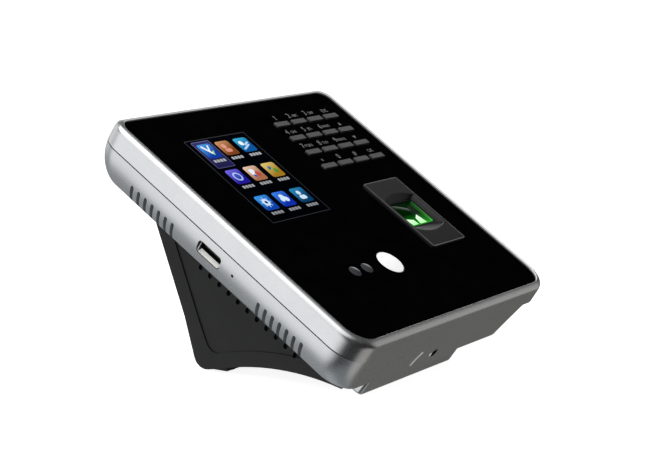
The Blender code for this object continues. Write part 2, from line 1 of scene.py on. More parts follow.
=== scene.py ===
"""Looks of the fingerprint scanner terminal on its desk stand.

Pieces are drawn in millimetres in the panel frame (x right, y up the panel,
z out of the glass, origin in the middle of the glass) and placed over the
shared frame, which gives the middle of the glass.
"""

from math import cos, pi, radians, sin

import bmesh
import bpy
import numpy as np
from mathutils import Euler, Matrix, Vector


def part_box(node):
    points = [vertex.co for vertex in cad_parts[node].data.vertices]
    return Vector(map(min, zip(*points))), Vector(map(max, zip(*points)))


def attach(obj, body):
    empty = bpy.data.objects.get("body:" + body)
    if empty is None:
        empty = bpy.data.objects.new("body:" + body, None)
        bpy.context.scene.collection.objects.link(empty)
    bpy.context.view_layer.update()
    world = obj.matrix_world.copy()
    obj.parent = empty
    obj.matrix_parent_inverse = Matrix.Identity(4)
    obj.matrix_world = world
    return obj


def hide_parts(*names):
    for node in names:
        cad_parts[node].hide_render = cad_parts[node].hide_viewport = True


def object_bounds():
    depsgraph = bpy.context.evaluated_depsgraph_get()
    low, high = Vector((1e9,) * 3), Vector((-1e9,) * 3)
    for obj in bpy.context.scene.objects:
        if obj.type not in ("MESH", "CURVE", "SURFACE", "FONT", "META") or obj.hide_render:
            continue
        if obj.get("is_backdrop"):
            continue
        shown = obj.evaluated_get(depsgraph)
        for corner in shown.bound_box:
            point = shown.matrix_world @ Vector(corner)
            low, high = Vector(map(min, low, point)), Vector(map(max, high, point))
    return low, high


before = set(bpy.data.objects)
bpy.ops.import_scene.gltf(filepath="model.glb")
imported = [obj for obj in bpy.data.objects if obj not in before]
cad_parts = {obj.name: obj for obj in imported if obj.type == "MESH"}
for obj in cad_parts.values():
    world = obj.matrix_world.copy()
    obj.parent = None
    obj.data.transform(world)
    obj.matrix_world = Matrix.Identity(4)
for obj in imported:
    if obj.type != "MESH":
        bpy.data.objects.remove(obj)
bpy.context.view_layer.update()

MM = 0.001
TILT = radians(33.5)
COS, SIN = cos(TILT), sin(TILT)

# ------------------------------------------------------- dimensions (mm)
GLASS_W, GLASS_H, GLASS_T = 160.5, 148.0, 2.0
HALF_W, HALF_H = 83.75, 77.5
GLASS_R, GLASS_TOP_R = 8.5, 5.5               # the upper corners are tighter
CORNER_R, TOP_R = 14.0, 10.5
SEAM_Z, REAR_Z, BOSS_Z, WALL, GAP = -9.2, -27.25, -34.6, 2.4, 0.3
BOSS_X0, BOSS_X1, BOSS_TOP = -54.1, 22.9, 50.0
LOWER_EDGE = -HALF_H + 1.0
BAY = (-30.0, 12.0, -40.0, -6.0)
KEY_X0, KEY_Y0, KEY_DX, KEY_DY = 22.1, 56.0, 13.9, 10.6
KEY_W, KEY_H = 10.4, 3.0
FINGER_X, FINGER_Y, FINGER_W, FINGER_H, FINGER_R = 43.6, -15.1, 29.2, 46.2, 1.3
WINDOW_Y, WINDOW_Z = FINGER_Y + 1.0, -1.6
WINDOW_W, WINDOW_H = 21.9, 15.0
LENS_XS, LENS_Y, LENS_R = (-37.3, -27.9), -38.2, 3.1
DISC_X, DISC_Y, DISC_R = -9.5, -38.8, 6.7
VENT_TOPS, VENT_COUNT, VENT_PITCH = (51.8, -27.0), 7, 4.28
VENT_TOP, VENT_END, VENT_W = -17.2, -25.9, 1.8
USB_Y, USB_Z, USB_W, USB_H = 4.0, -16.6, 13.1, 5.7
RESET_Y, RESET_Z = -10.4, -16.2
SCREW_X, SCREW_Z = -4.1, -22.2
CASE_SCREWS = ((-64.0, 66.5), (54.0, 66.5), (-64.0, -60.0), (54.0, -60.0))
CORNER_STEPS = 18

glass_low, glass_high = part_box("front_glass")
HOME = Vector(((glass_low[0] + glass_high[0]) / 2,
               (glass_low[1] + glass_high[1]) / 2 - GLASS_T / 2 * MM * SIN,
               (glass_low[2] + glass_high[2]) / 2 + GLASS_T / 2 * MM * COS))


def place(point):
    """Panel frame in mm to the row frame in metres."""
    x, y, z = point
    return HOME + Vector((x, y * COS - z * SIN, y * SIN + z * COS)) * MM


# ------------------------------------------------------------- materials
BROAD_SCALE = 90.0                            # per metre, the slow change of tone
NOISE_LOW, NOISE_HIGH = 0.3, 0.7              # where the noise's values mostly lie


def socket(node, name, value):
    node.inputs[name].default_value = value


def finish(name, dark, light, rough, metallic=0.0, grain=2600.0, bump=0.06, depth=0.02,
           speckle=0.0, specular=0.5, glow=0.0, glow_tint=(1, 1, 1)):
    """Procedural finish: broad tone variation, fine grain in bump and gloss.

    dark and light are the two ends of the colour, rough the two ends of the
    roughness; grain is a noise scale per metre, depth is in mm, and speckle
    is the share of the fine grain in the colour.
    """
    made = bpy.data.materials.new(name)
    made.use_nodes = True
    tree = made.node_tree
    shader = tree.nodes["Principled BSDF"]
    socket(shader, "Metallic", metallic)
    socket(shader, "Specular IOR Level", specular)
    if glow:
        socket(shader, "Emission Color", (*glow_tint, 1))
        socket(shader, "Emission Strength", glow)
    coord = tree.nodes.new("ShaderNodeTexCoord")

    def noise(scale, detail):
        node = tree.nodes.new("ShaderNodeTexNoise")
        socket(node, "Scale", scale)
        socket(node, "Detail", detail)
        tree.links.new(coord.outputs["Object"], node.inputs["Vector"])
        return node

    broad, fine = noise(BROAD_SCALE, 3.0), noise(grain, 2.0)
    blend = tree.nodes.new("ShaderNodeMath")
    blend.operation = "MULTIPLY_ADD"
    blend.inputs[1].default_value = speckle
    tree.links.new(fine.outputs["Fac"], blend.inputs[0])
    spread = tree.nodes.new("ShaderNodeMath")
    spread.operation = "MULTIPLY"
    spread.inputs[1].default_value = 1.0 - speckle
    tree.links.new(broad.outputs["Fac"], spread.inputs[0])
    tree.links.new(spread.outputs[0], blend.inputs[2])
    ramp = tree.nodes.new("ShaderNodeValToRGB")
    ramp.color_ramp.elements[0].position = NOISE_LOW
    ramp.color_ramp.elements[0].color = (*dark, 1)
    ramp.color_ramp.elements[1].position = NOISE_HIGH
    ramp.color_ramp.elements[1].color = (*light, 1)
    tree.links.new(blend.outputs[0], ramp.inputs["Fac"])
    tree.links.new(ramp.outputs["Color"], shader.inputs["Base Color"])
    gloss = tree.nodes.new("ShaderNodeMapRange")
    socket(gloss, "From Min", NOISE_LOW)
    socket(gloss, "From Max", NOISE_HIGH)
    socket(gloss, "To Min", rough[0])
    socket(gloss, "To Max", rough[1])
    tree.links.new(fine.outputs["Fac"], gloss.inputs["Value"])
    tree.links.new(gloss.outputs["Result"], shader.inputs["Roughness"])
    rise = tree.nodes.new("ShaderNodeBump")
    socket(rise, "Strength", bump)
    socket(rise, "Distance", depth * MM)
    tree.links.new(fine.outputs["Fac"], rise.inputs["Height"])
    tree.links.new(rise.outputs["Normal"], shader.inputs["Normal"])
    return made


def lit(name, low, high, strength, gloss=0.08, turn=(0.0, 0.0, 1.0)):
    """Lit picture behind the glass: a gradient over the piece's own box."""
    made = bpy.data.materials.new(name)
    made.use_nodes = True
    tree = made.node_tree
    shader = tree.nodes["Principled BSDF"]
    socket(shader, "Roughness", gloss)
    socket(shader, "Specular IOR Level", 0.25)
    socket(shader, "Emission Strength", strength)
    coord = tree.nodes.new("ShaderNodeTexCoord")
    along = tree.nodes.new("ShaderNodeVectorMath")
    along.operation = "DOT_PRODUCT"
    along.inputs[1].default_value = turn
    tree.links.new(coord.outputs["Generated"], along.inputs[0])
    ramp = tree.nodes.new("ShaderNodeValToRGB")
    ramp.color_ramp.elements[0].color = (*low, 1)
    ramp.color_ramp.elements[1].color = (*high, 1)
    tree.links.new(along.outputs["Value"], ramp.inputs["Fac"])
    tree.links.new(ramp.outputs["Color"], shader.inputs["Emission Color"])
    dim = tree.nodes.new("ShaderNodeMix")
    dim.data_type = "RGBA"
    dim.inputs["Factor"].default_value = 0.9
    dim.inputs["B"].default_value = (0, 0, 0, 1)
    tree.links.new(ramp.outputs["Color"], dim.inputs["A"])
    tree.links.new(dim.outputs["Result"], shader.inputs["Base Color"])
    return made


SILVER = finish("silver_paint", (0.80, 0.81, 0.82), (0.88, 0.89, 0.90), (0.24, 0.32), 0.88,
                grain=5200, bump=0.08, depth=0.01, speckle=0.5)
GLASS = finish("black_glass", (0.0012, 0.0012, 0.0014), (0.0022, 0.0022, 0.0026), (0.03, 0.05),
               grain=900, bump=0.01, depth=0.002, specular=0.3)
STAND = finish("stand_black", (0.006, 0.006, 0.0065), (0.012, 0.012, 0.0125), (0.55, 0.65),
               grain=2400, bump=0.35, depth=0.03, speckle=0.35)
BEZEL = finish("bezel_grey", (0.013, 0.013, 0.014), (0.023, 0.023, 0.025), (0.36, 0.46),
               grain=3800, bump=0.2, depth=0.012, speckle=0.4, specular=0.3)
KEY = finish("key_grey", (0.105, 0.106, 0.108), (0.14, 0.141, 0.143), (0.42, 0.52),
             grain=4200, bump=0.12, depth=0.01, speckle=0.5)
LABEL = finish("label_grey", (0.28, 0.28, 0.285), (0.36, 0.36, 0.365), (0.5, 0.6), grain=3000)
WHITE = finish("white_diffuser", (0.93, 0.93, 0.92), (0.99, 0.99, 0.98), (0.35, 0.45),
               grain=2000, bump=0.05, glow=0.45)
LENS = finish("lens_dark", (0.060, 0.064, 0.070), (0.085, 0.090, 0.098), (0.12, 0.18),
              grain=900, bump=0.02)
STEEL = finish("steel", (0.52, 0.52, 0.53), (0.66, 0.66, 0.67), (0.22, 0.34), 1.0,
               grain=3000, bump=0.1, depth=0.01, speckle=0.6)
DARK = finish("dark_plastic", (0.012, 0.013, 0.015), (0.024, 0.026, 0.028), (0.4, 0.5),
              grain=3000, bump=0.15)
# the vent slots' walls are grey with a faint bluish glow: painted light inside the slots
SLOT_GREY = finish("slot_grey_painted_glow", (0.22, 0.25, 0.27), (0.27, 0.30, 0.32), (0.5, 0.6), grain=3000,
                   glow=0.035, glow_tint=(0.85, 0.95, 1.0))
# lighter grey for the line round the fingerprint bezel: a painted highlight on the bezel's edge
BEZEL_HIGHLIGHT_GREY = finish("bezel_edge_painted_highlight", (0.22, 0.22, 0.222), (0.28, 0.28, 0.282), (0.3, 0.4), grain=3800)
# painted highlight: this steel glows, for the USB socket's lower lip and the bright arc and dot
# beside the security screw
LIP = finish("painted_highlight_steel", (0.66, 0.67, 0.64), (0.78, 0.79, 0.76), (0.28, 0.38), 0.6,
             grain=3000, bump=0.1, glow=0.4, glow_tint=(1, 1, 0.95))
EDGE_LIGHT = finish("edge_light", (0.66, 0.67, 0.68), (0.78, 0.79, 0.80), (0.3, 0.4), 0.5,
                    grain=3000, bump=0.1, glow=0.45)
RUBBER = finish("rubber", (0.010, 0.010, 0.010), (0.018, 0.018, 0.018), (0.75, 0.88),
                grain=1800, bump=0.3, depth=0.03)
BOARD = finish("circuit_board", (0.006, 0.07, 0.03), (0.012, 0.12, 0.05), (0.35, 0.5),
               grain=700, bump=0.1, speckle=0.6)
FLEX = finish("flex_film", (0.30, 0.13, 0.03), (0.42, 0.20, 0.05), (0.35, 0.45), grain=600)
GOLD = finish("gold_contacts", (0.75, 0.52, 0.20), (0.85, 0.62, 0.28), (0.25, 0.35), 1.0)

CAD_LOOKS = {
    "lcd_module": GLASS, "lcd_ribbon": FLEX, "fingerprint_ribbon": FLEX, "keypad_mat": RUBBER,
    "keypad_board": BOARD, "camera_board": BOARD, "main_board": BOARD,
    "fingerprint_module": DARK, "processor_chip": DARK, "speaker": DARK, "power_jack": DARK,
    "reset_switch": DARK, "tamper_switch": DARK, "clock_battery": STEEL, "network_jack": STEEL,
    "mounting_plate": STEEL, "security_screw": DARK, "reset_button": KEY,
    "tamper_plunger": WHITE, "illuminator_led": WHITE, "rubber_foot_left": RUBBER,
    "rubber_foot_right": RUBBER}
for name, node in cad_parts.items():
    look = CAD_LOOKS.get(name)
    if look is None:
        look = STEEL if "screw" in name else STAND if name.startswith("stand_") else DARK
    node.data.materials.clear()
    node.data.materials.append(look)


# ---------------------------------------------------------- solid makers
def smooth(mesh, angle=32.0):
    """Smooth shading with sharp edges above the angle, in degrees."""
    for face in mesh.polygons:
        face.use_smooth = True
    mesh.set_sharp_from_angle(angle=radians(angle))


def add(name, bm, look, body="terminal", nodes=(), angle=32.0):
    """Closes a bmesh drawn in panel mm into a named piece that rides a body."""
    bmesh.ops.remove_doubles(bm, verts=bm.verts, dist=1e-5)
    bmesh.ops.recalc_face_normals(bm, faces=bm.faces)
    for vert in bm.verts:
        vert.co = place(vert.co)
    mesh = bpy.data.meshes.new(name)
    bm.to_mesh(mesh)
    bm.free()
    smooth(mesh, angle)
    obj = bpy.data.objects.new(name, mesh)
    bpy.context.scene.collection.objects.link(obj)
    if look is not None:
        mesh.materials.append(look)
        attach(obj, body)
        if nodes:
            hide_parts(*nodes)
    return obj


def skin(bm, rings, closed=False):
    """Skins equal-length rings; closed joins the last ring to the first."""
    loops = [[bm.verts.new(point) for point in ring] for ring in rings]
    pairs = list(zip(loops, loops[1:]))
    if closed:
        pairs.append((loops[-1], loops[0]))
    for low, high in pairs:
        for i in range(len(low)):
            j = (i + 1) % len(low)
            bm.faces.new((low[i], low[j], high[j], high[i]))
    if not closed:
        bm.faces.new(reversed(loops[0]))
        bm.faces.new(loops[-1])


def solid(name, ring_sets, look=None, closed=False, **more):
    """One piece out of one or more skinned solids."""
    bm = bmesh.new()
    for rings in ring_sets:
        skin(bm, rings, closed)
    return add(name, bm, look, **more)


def box_ring(x0, x1, y0, y1, radius, z, steps=CORNER_STEPS, upper=None):
    """Rounded rectangle at height z; the upper corners may have their own radius."""
    radius = max(radius, 0.001)
    upper = radius if upper is None else max(upper, 0.001)
    ring = []
    for cx, cy, bend, start in ((x1 - radius, y0 + radius, radius, -90),
                                (x1 - upper, y1 - upper, upper, 0),
                                (x0 + upper, y1 - upper, upper, 90),
                                (x0 + radius, y0 + radius, radius, 180)):
        for step in range(steps + 1):
            angle = radians(start + 90 * step / steps)
            ring.append((cx + bend * cos(angle), cy + bend * sin(angle), z))
    return ring


def block(cx, cy, width, height, profile, radius=0.0, steps=6):
    """Rings of a rounded block; profile lists (z, inset)."""
    return [box_ring(cx - width / 2 + i, cx + width / 2 - i, cy - height / 2 + i,
                     cy + height / 2 - i, radius - i, z, steps) for z, i in profile]


def turned(centre, axis, profile, steps=48):
    """Rings of a turned shape; profile lists (distance along axis, radius)."""
    turn = Vector((0, 0, 1)).rotation_difference(Vector(axis))
    rings = []
    for along, radius in profile:
        rings.append([Vector(centre) + turn @ Vector((radius * cos(2 * pi * n / steps),
                                                      radius * sin(2 * pi * n / steps), along))
                      for n in range(steps)])
    return rings


def carve(target, *tools):
    """Cuts the tools out of the target, applies the result and drops the tools."""
    for tool in tools:
        step = target.modifiers.new(tool.name, "BOOLEAN")
        step.object = tool
        step.operation = "DIFFERENCE"
        step.solver = "EXACT"
        if tool.data.materials:
            step.material_mode = "TRANSFER"
    settle(target)
    for tool in tools:
        bpy.data.objects.remove(tool, do_unlink=True)


def tinted(tool, look):
    """Gives a cutter the look of the faces it leaves behind."""
    tool.data.materials.append(look)
    return tool


def settle(obj):
    """Applies the modifiers of a piece and smooths what comes out."""
    graph = bpy.context.evaluated_depsgraph_get()
    mesh = bpy.data.meshes.new_from_object(obj.evaluated_get(graph))
    obj.modifiers.clear()
    obj.data = mesh
    smooth(mesh)


# ------------------------------------------------------------- housings
def front_ring(inset, z):
    return box_ring(-HALF_W + inset, HALF_W - inset, -HALF_H + inset, HALF_H - inset,
                    CORNER_R - inset, z, upper=TOP_R - inset)


def rear_ring(side, right, bottom, z, extra=0.0):
    return box_ring(-HALF_W + side + extra, HALF_W - right - extra, -HALF_H + bottom + extra,
                    HALF_H - side - extra, CORNER_R - 0.3 * side - 0.5 * extra, z,
                    upper=TOP_R - 0.3 * side - 0.5 * extra)


SHOULDER = ((0.0, SEAM_Z + 0.22), (0.0, -6.2), (0.0, -3.2), (0.04, -2.4), (0.15, -1.7),
            (0.34, -1.1), (0.6, -0.65), (0.88, -0.3), (1.15, -0.04), (1.5, 0.2), (1.85, 0.38),
            (2.2, 0.53), (2.6, 0.68), (2.95, 0.8), (3.12, 0.82), (3.2, 0.66))
INSIDE = ((3.25, -2.3), (6.5, -2.3), (6.5, -3.8), (WALL, -3.8), (WALL, SEAM_Z + 0.12),
          (0.1, SEAM_Z + 0.12))


def closed_seam(ring, shut):
    """Lowers the seam edge of a ring to depth shut along the lower wall."""
    made = []
    for x, y, z in ring:
        t = min(max((7.0 - (y + HALF_H)) / 5.1, 0.0), 1.0)
        made.append((x, y, z + (shut - z) * t * t * (3 - 2 * t)))
    return made


solid("front_housing_shell",
      [[closed_seam(front_ring(i, z), SEAM_Z - GAP + 0.01) if z <= SEAM_Z + 0.25
        else front_ring(i, z) for i, z in SHOULDER + INSIDE]], SILVER,
      closed=True, nodes=["front_housing"])

# the inner side of the lip catches light all the way round the glass
solid("front_housing_inner_edge", [[front_ring(i, z) for i, z in
                                    ((3.1, 0.0), (3.1, 0.72), (3.27, 0.68), (3.3, 0.0))]],
      EDGE_LIGHT, closed=True)

# depth, then how far the left and top, right and lower walls have drawn in
REAR_PROFILE = ((SEAM_Z - GAP, 0.0, 6.2, 0.0), (-13.2, 0.5, 8.8, 0.2), (-16.3, 1.2, 11.0, 0.4),
                (-19.4, 2.3, 13.2, 0.6), (-22.0, 3.6, 15.0, 0.8), (-24.1, 5.0, 16.5, 0.9),
                (-25.5, 6.3, 17.5, 1.0), (-26.3, 7.7, 18.1, 1.1), (-26.95, 9.5, 18.8, 1.4),
                (REAR_Z, 12.0, 20.0, 2.2))


def curve_through(points, pieces):
    """Catmull-Rom points through the rows of a table."""
    rows = [np.array(point) for point in points]
    rows = [2 * rows[0] - rows[1]] + rows + [2 * rows[-1] - rows[-2]]
    made = []
    for a, b, c, d in zip(rows, rows[1:], rows[2:], rows[3:]):
        for n in range(pieces):
            t = n / pieces
            made.append(0.5 * (2 * b + (c - a) * t + (2 * a - 5 * b + 4 * c - d) * t ** 2
                               + (3 * b - a - 3 * c + d) * t ** 3))
    return made + [rows[-2]]


rear = solid("rear_housing_shell",
             [[rear_ring(side, right, bottom, z)
               for z, side, right, bottom in curve_through(REAR_PROFILE, 4)]], SILVER,
             nodes=["rear_housing"])
boss = solid("boss", [[box_ring(BOSS_X0 + i, BOSS_X1 - i, LOWER_EDGE + drop, BOSS_TOP - i,
                                2.0, z, 6)
                       for z, i, drop in ((BOSS_Z, 1.2, 1.5), (BOSS_Z + 0.15, 0.8, 1.1),
                                          (BOSS_Z + 0.4, 0.45, 0.8), (BOSS_Z + 0.8, 0.15, 0.55),
                                          (BOSS_Z + 1.3, 0.0, 0.4), (REAR_Z + 2.0, 0.0, 0.0))]])
union = rear.modifiers.new("boss", "BOOLEAN")
union.object, union.operation, union.solver = boss, "UNION", "EXACT"
settle(rear)
bpy.data.objects.remove(boss, do_unlink=True)


def vent(y):
    """One slot with round ends, pushed in through the left wall."""
    half, outline = VENT_W / 2, []
    for centre, start in ((VENT_TOP - VENT_W / 2, 0), (VENT_END + VENT_W / 2, 180)):
        for step in range(11):
            angle = radians(start + 18 * step)
            outline.append((y + half * cos(angle), centre + half * sin(angle)))
    return [[(x, *point) for point in outline] for x in (-HALF_W - 2, -HALF_W + 9.0)]


def usb(width, height, radius, xs):
    """Rounded outline around the USB socket's axis at each depth of xs."""
    ring = box_ring(-width / 2, width / 2, -height / 2, height / 2, radius, 0, 6)
    return [[(x, USB_Y + dy, USB_Z + dz) for dy, dz, _ in ring] for x in xs]


CAVITY = ((REAR_Z + WALL, 7.0, 17.2, 1.1), (-22.0, 3.8, 15.0, 0.8), (-16.0, 1.2, 11.0, 0.4),
          (SEAM_Z, 0.0, 6.2, 0.0))            # rows as in REAR_PROFILE
rear_cavity = solid("rear_cavity", [[rear_ring(side, right, bottom, z, WALL)
                                     for z, side, right, bottom in CAVITY]])
boss_cavity = solid("boss_cavity",
                    [block((BOSS_X0 + BOSS_X1) / 2, (LOWER_EDGE + BOSS_TOP) / 2,
                           BOSS_X1 - BOSS_X0 - 2 * WALL, BOSS_TOP - LOWER_EDGE - 2 * WALL - 1,
                           ((BOSS_Z + WALL, 0), (REAR_Z + WALL + 1, 0)), 1.5)])
bay = solid("bay_opening", [block((BAY[0] + BAY[1]) / 2, (BAY[2] + BAY[3]) / 2, BAY[1] - BAY[0],
                                  BAY[3] - BAY[2], ((BOSS_Z - 1, 0), (BOSS_Z + WALL + 1, 0)), 3)])
carve(rear, tinted(rear_cavity, DARK), tinted(boss_cavity, DARK), bay)
carve(rear,
      tinted(solid("vents", [vent(first - n * VENT_PITCH) for first in VENT_TOPS
                             for n in range(VENT_COUNT)]), SLOT_GREY),
      solid("usb_cut", [usb(USB_W + 0.9, USB_H + 0.9, 1.8, (-HALF_W - 2, -HALF_W + 7))]),
      solid("reset_cut", [turned((-HALF_W - 2, RESET_Y, RESET_Z), (1, 0, 0),
                                 ((0, 0.75), (9, 0.75)), 24)]),
      tinted(solid("security_cut", [turned((SCREW_X, -HALF_H - 2, SCREW_Z), (0, 1, 0),
                                           ((0, 3.6), (3.6, 1.8), (8, 1.8)), 32)]), DARK),
      solid("screw_ways", [turned((x, y, REAR_Z - 1), (0, 0, 1),
                                  ((0, 3.1), (2.9, 3.1), (2.9, 1.7), (8, 1.7)), 24)
                           for x, y in CASE_SCREWS]))


def wall_strip(points):
    """Strip just proud of the sloping lower wall; points are (x, z) of its outline."""
    return [[(x, -HALF_H + 1.1 - proud + 0.066 * (-26.0 - z), z) for x, z in points]
            for proud in (-0.5, 0.22)]


# painted highlights beside the security screw: a bright arc and a dot, glowing strips just proud of
# the wall
ARC_X, ARC_Z = -4.9, -29.0
ARC = [radians(140 + 2.5 * n) for n in range(12)]
solid("security_screw_painted_highlights",
      [wall_strip([(ARC_X + r * cos(a), ARC_Z + r * sin(a))
                   for r, way in ((16.8, 1), (17.2, -1)) for a in ARC[::way]]),
       wall_strip([(SCREW_X - 3.3, SCREW_Z - 1.0), (SCREW_X - 2.8, SCREW_Z - 1.0),
                   (SCREW_X - 2.5, SCREW_Z + 0.4), (SCREW_X - 2.9, SCREW_Z + 0.4)])], LIP)

# ---------------------------------------------------------------- stand
# dark strips close the stand's short slots from inside, painted shade in place of the view through
# them: middle x and thickness
SLOT_SHADE_STRIPS = ((-54.36, 0.2), (22.95, 0.06))
solid("stand_slot_painted_shade", [block(x, -13.0, thick, 68.0, ((-42.4, 0), (-32.6, 0)))
                             for x, thick in SLOT_SHADE_STRIPS], RUBBER)

# ---------------------------------------------------------------- glass
glass = solid("front_glass_pane", [[box_ring(-GLASS_W / 2 + i, GLASS_W / 2 - i, -GLASS_H / 2 + i,
                                             GLASS_H / 2 - i, GLASS_R - i, z,
                                             upper=GLASS_TOP_R - i)
                                    for z, i in ((-GLASS_T, 0.3), (-GLASS_T + 0.3, 0), (-0.35, 0),
                                                 (-0.15, 0.06), (-0.04, 0.18), (0, 0.38))]], GLASS,
              nodes=["front_glass"])
KEY_NAMES = ("1", "2", "3", "escape", "4", "5", "6", "up",
             "7", "8", "9", "down", "star", "0", "hash", "menu")
KEYS = [(name, KEY_X0 + KEY_DX * (i % 4), KEY_Y0 - KEY_DY * (i // 4))
        for i, name in enumerate(KEY_NAMES)]
carve(glass,
      solid("key_slots", [block(x, y, KEY_W + 2 * GAP, KEY_H + 2 * GAP, ((-3, 0), (1, 0)), 0.5, 4)
                          for _, x, y in KEYS]),
      solid("finger_slot", [block(FINGER_X, FINGER_Y, FINGER_W + 2 * GAP, FINGER_H + 2 * GAP,
                                  ((-3, 0), (1, 0)), FINGER_R + GAP, 8)]),
      solid("lens_slots", [turned((x, y, -3), (0, 0, 1), ((0, r + GAP), (4, r + GAP)), 64)
                           for x, y, r in [(x, LENS_Y, LENS_R) for x in LENS_XS]
                           + [(DISC_X, DISC_Y, DISC_R)]]))

# --------------------------------------------------------------- keypad
for name, x, y in KEYS:
    solid("key_cap_" + name,
          [block(x, y, KEY_W, KEY_H, ((-2.3, 0), (0.6, 0), (0.7, 0.1)), 0.2, 3)], KEY,
          body="key_" + name, nodes=["key_" + name])


PRINT_Z, PRINT_T = 0.01, 0.03                 # where the print starts, and its thickness


def text_rings(letters, size, x, y):
    """Printed letters as a thin solid, centred on (x, y) of the panel."""
    font = bpy.data.curves.new(letters, "FONT")
    font.body = letters
    font.size = size
    font.resolution_u = 3
    font.align_x, font.align_y = "CENTER", "CENTER"
    font.extrude = PRINT_T / 2
    holder = bpy.data.objects.new(letters, font)
    bpy.context.scene.collection.objects.link(holder)
    graph = bpy.context.evaluated_depsgraph_get()
    mesh = bpy.data.meshes.new_from_object(holder.evaluated_get(graph))
    bm = bmesh.new()
    bm.from_mesh(mesh)
    bpy.data.objects.remove(holder, do_unlink=True)
    xs = [vert.co.x for vert in bm.verts]
    ys = [vert.co.y for vert in bm.verts]
    mid_x, mid_y = (min(xs) + max(xs)) / 2, (min(ys) + max(ys)) / 2
    for vert in bm.verts:
        vert.co = (x + vert.co.x - mid_x, y + vert.co.y - mid_y,
                   PRINT_Z + PRINT_T / 2 + vert.co.z)
    return bm


def merge(name, parts, look, **more):
    """Joins several bmeshes into one piece."""
    whole = bmesh.new()
    for part in parts:
        mesh = bpy.data.meshes.new("part")
        part.to_mesh(mesh)
        part.free()
        whole.from_mesh(mesh)
        bpy.data.meshes.remove(mesh)
    return add(name, whole, look, **more)


KEY_LETTERS = {"2": "ABC", "3": "DEF", "4": "GHI", "5": "JKL", "6": "MNO", "7": "PQRS",
               "8": "TUV", "9": "WXYZ"}
labels = []
for name, x, y in KEYS:
    if name in KEY_LETTERS:
        labels.append(text_rings(name, 4.6, x - 2.6, y + 5.2))
        labels.append(text_rings(KEY_LETTERS[name], 2.5, x + 2.2, y + 4.7))
    elif name in "01":
        labels.append(text_rings(name, 4.6, x, y + 5.0))
    elif name in ("escape", "menu"):
        labels.append(text_rings({"escape": "ESC", "menu": "OK"}[name], 3.2, x, y + 4.6))
    elif name in ("star", "hash"):
        labels.append(text_rings({"star": "*", "hash": "#"}[name], 4.2, x, y + 4.6))
    else:
        sign = 1 if name == "up" else -1
        bm = bmesh.new()
        skin(bm, [[(x - 1.3, y + 4.6 - sign * 0.9, z), (x + 1.3, y + 4.6 - sign * 0.9, z),
                   (x, y + 4.6 + sign * 1.1, z)] for z in (PRINT_Z, PRINT_Z + PRINT_T)])
        labels.append(bm)
merge("keypad_legends", labels, LABEL)

# --------------------------------------------------------------- screen
def plates(name, shapes, look, z, thick=0.04):
    """Flat thin solids over the glass; shapes are (x, y) outlines."""
    return solid(name, [[[(x, y, h) for x, y in shape] for h in (z, z + thick)]
                        for shape in shapes], look)


def oblong(cx, cy, width, height, radius=0.6, steps=4):
    return [(x, y) for x, y, _ in box_ring(cx - width / 2, cx + width / 2, cy - height / 2,
                                           cy + height / 2, radius, 0, steps)]


def rim(name, cx, cy, width, height, line, radius, look, z, thick=0.03):
    """A line frame of rectangular section."""
    rings = [[(x, y, h) for x, y in oblong(cx, cy, width - 2 * i, height - 2 * i,
                                           max(radius - i, 0.05))]
             for i, h in ((0, z), (0, z + thick), (line, z + thick), (line, z))]
    return solid(name, [rings], look, closed=True)


SCREEN_X, SCREEN_Y, SCREEN_W, SCREEN_H = -32.15, 27.05, 44.7, 57.1
FRAME_GREY = lit("screen_frame_line", (0.10, 0.11, 0.13), (0.16, 0.17, 0.19), 0.22)
SCREEN_BACK = lit("screen_background", (0.0008, 0.001, 0.0022), (0.0015, 0.002, 0.004), 0.5)
plates("screen_picture", [oblong(SCREEN_X, SCREEN_Y, SCREEN_W, SCREEN_H, 0.4)], SCREEN_BACK,
       0.004, 0.012)
rim("screen_frame", SCREEN_X, SCREEN_Y, SCREEN_W, SCREEN_H, 0.35, 0.5, FRAME_GREY, 0.01)
COLUMNS, ROWS = (-44.8, -31.6, -17.9), (47.4, 29.1, 10.7)
TILE_COLOURS = (
    ((0.005, 0.05, 0.40), (0.10, 0.45, 0.95)), ((0.22, 0.06, 0.015), (0.72, 0.36, 0.16)),
    ((0.005, 0.10, 0.36), (0.06, 0.55, 0.85)), ((0.02, 0.01, 0.32), (0.20, 0.16, 0.90)),
    ((0.42, 0.16, 0.08), (0.95, 0.68, 0.52)), ((0.38, 0.20, 0.015), (0.90, 0.68, 0.22)),
    ((0.005, 0.06, 0.42), (0.05, 0.38, 0.95)), ((0.005, 0.03, 0.42), (0.05, 0.26, 0.92)),
    ((0.003, 0.05, 0.14), (0.03, 0.30, 0.60)))
rim("screen_highlight_border", COLUMNS[0], 45.0, 12.9, 18.4, 0.4, 0.9,
    lit("highlight_border", (0.16, 0.15, 0.42), (0.35, 0.32, 0.75), 0.4), 0.03)
plates("screen_highlight", [oblong(COLUMNS[0], 45.0, 12.4, 17.9, 0.8)],
       lit("highlight_cell", (0.02, 0.02, 0.10), (0.05, 0.05, 0.20), 0.6), 0.018)
for number, (low, high) in enumerate(TILE_COLOURS):
    x, y = COLUMNS[number % 3], ROWS[number // 3]
    plates(f"screen_icon_{number + 1}", [oblong(x, y, 9.6, 9.6, 1.4, 6)],
           lit(f"icon_{number + 1}", low, high, 0.86, turn=(-0.45, 0.35, 0.6)), 0.04)


def disc(cx, cy, radius):
    return [(cx + radius * cos(2 * pi * n / 20), cy + radius * sin(2 * pi * n / 20))
            for n in range(20)]


def bar(cx, cy, length, width, turn):
    c, s = cos(radians(turn)), sin(radians(turn))
    return [(cx + u * c - v * s, cy + u * s + v * c)
            for u, v in ((-length / 2, -width / 2), (length / 2, -width / 2),
                         (length / 2, width / 2), (-length / 2, width / 2))]


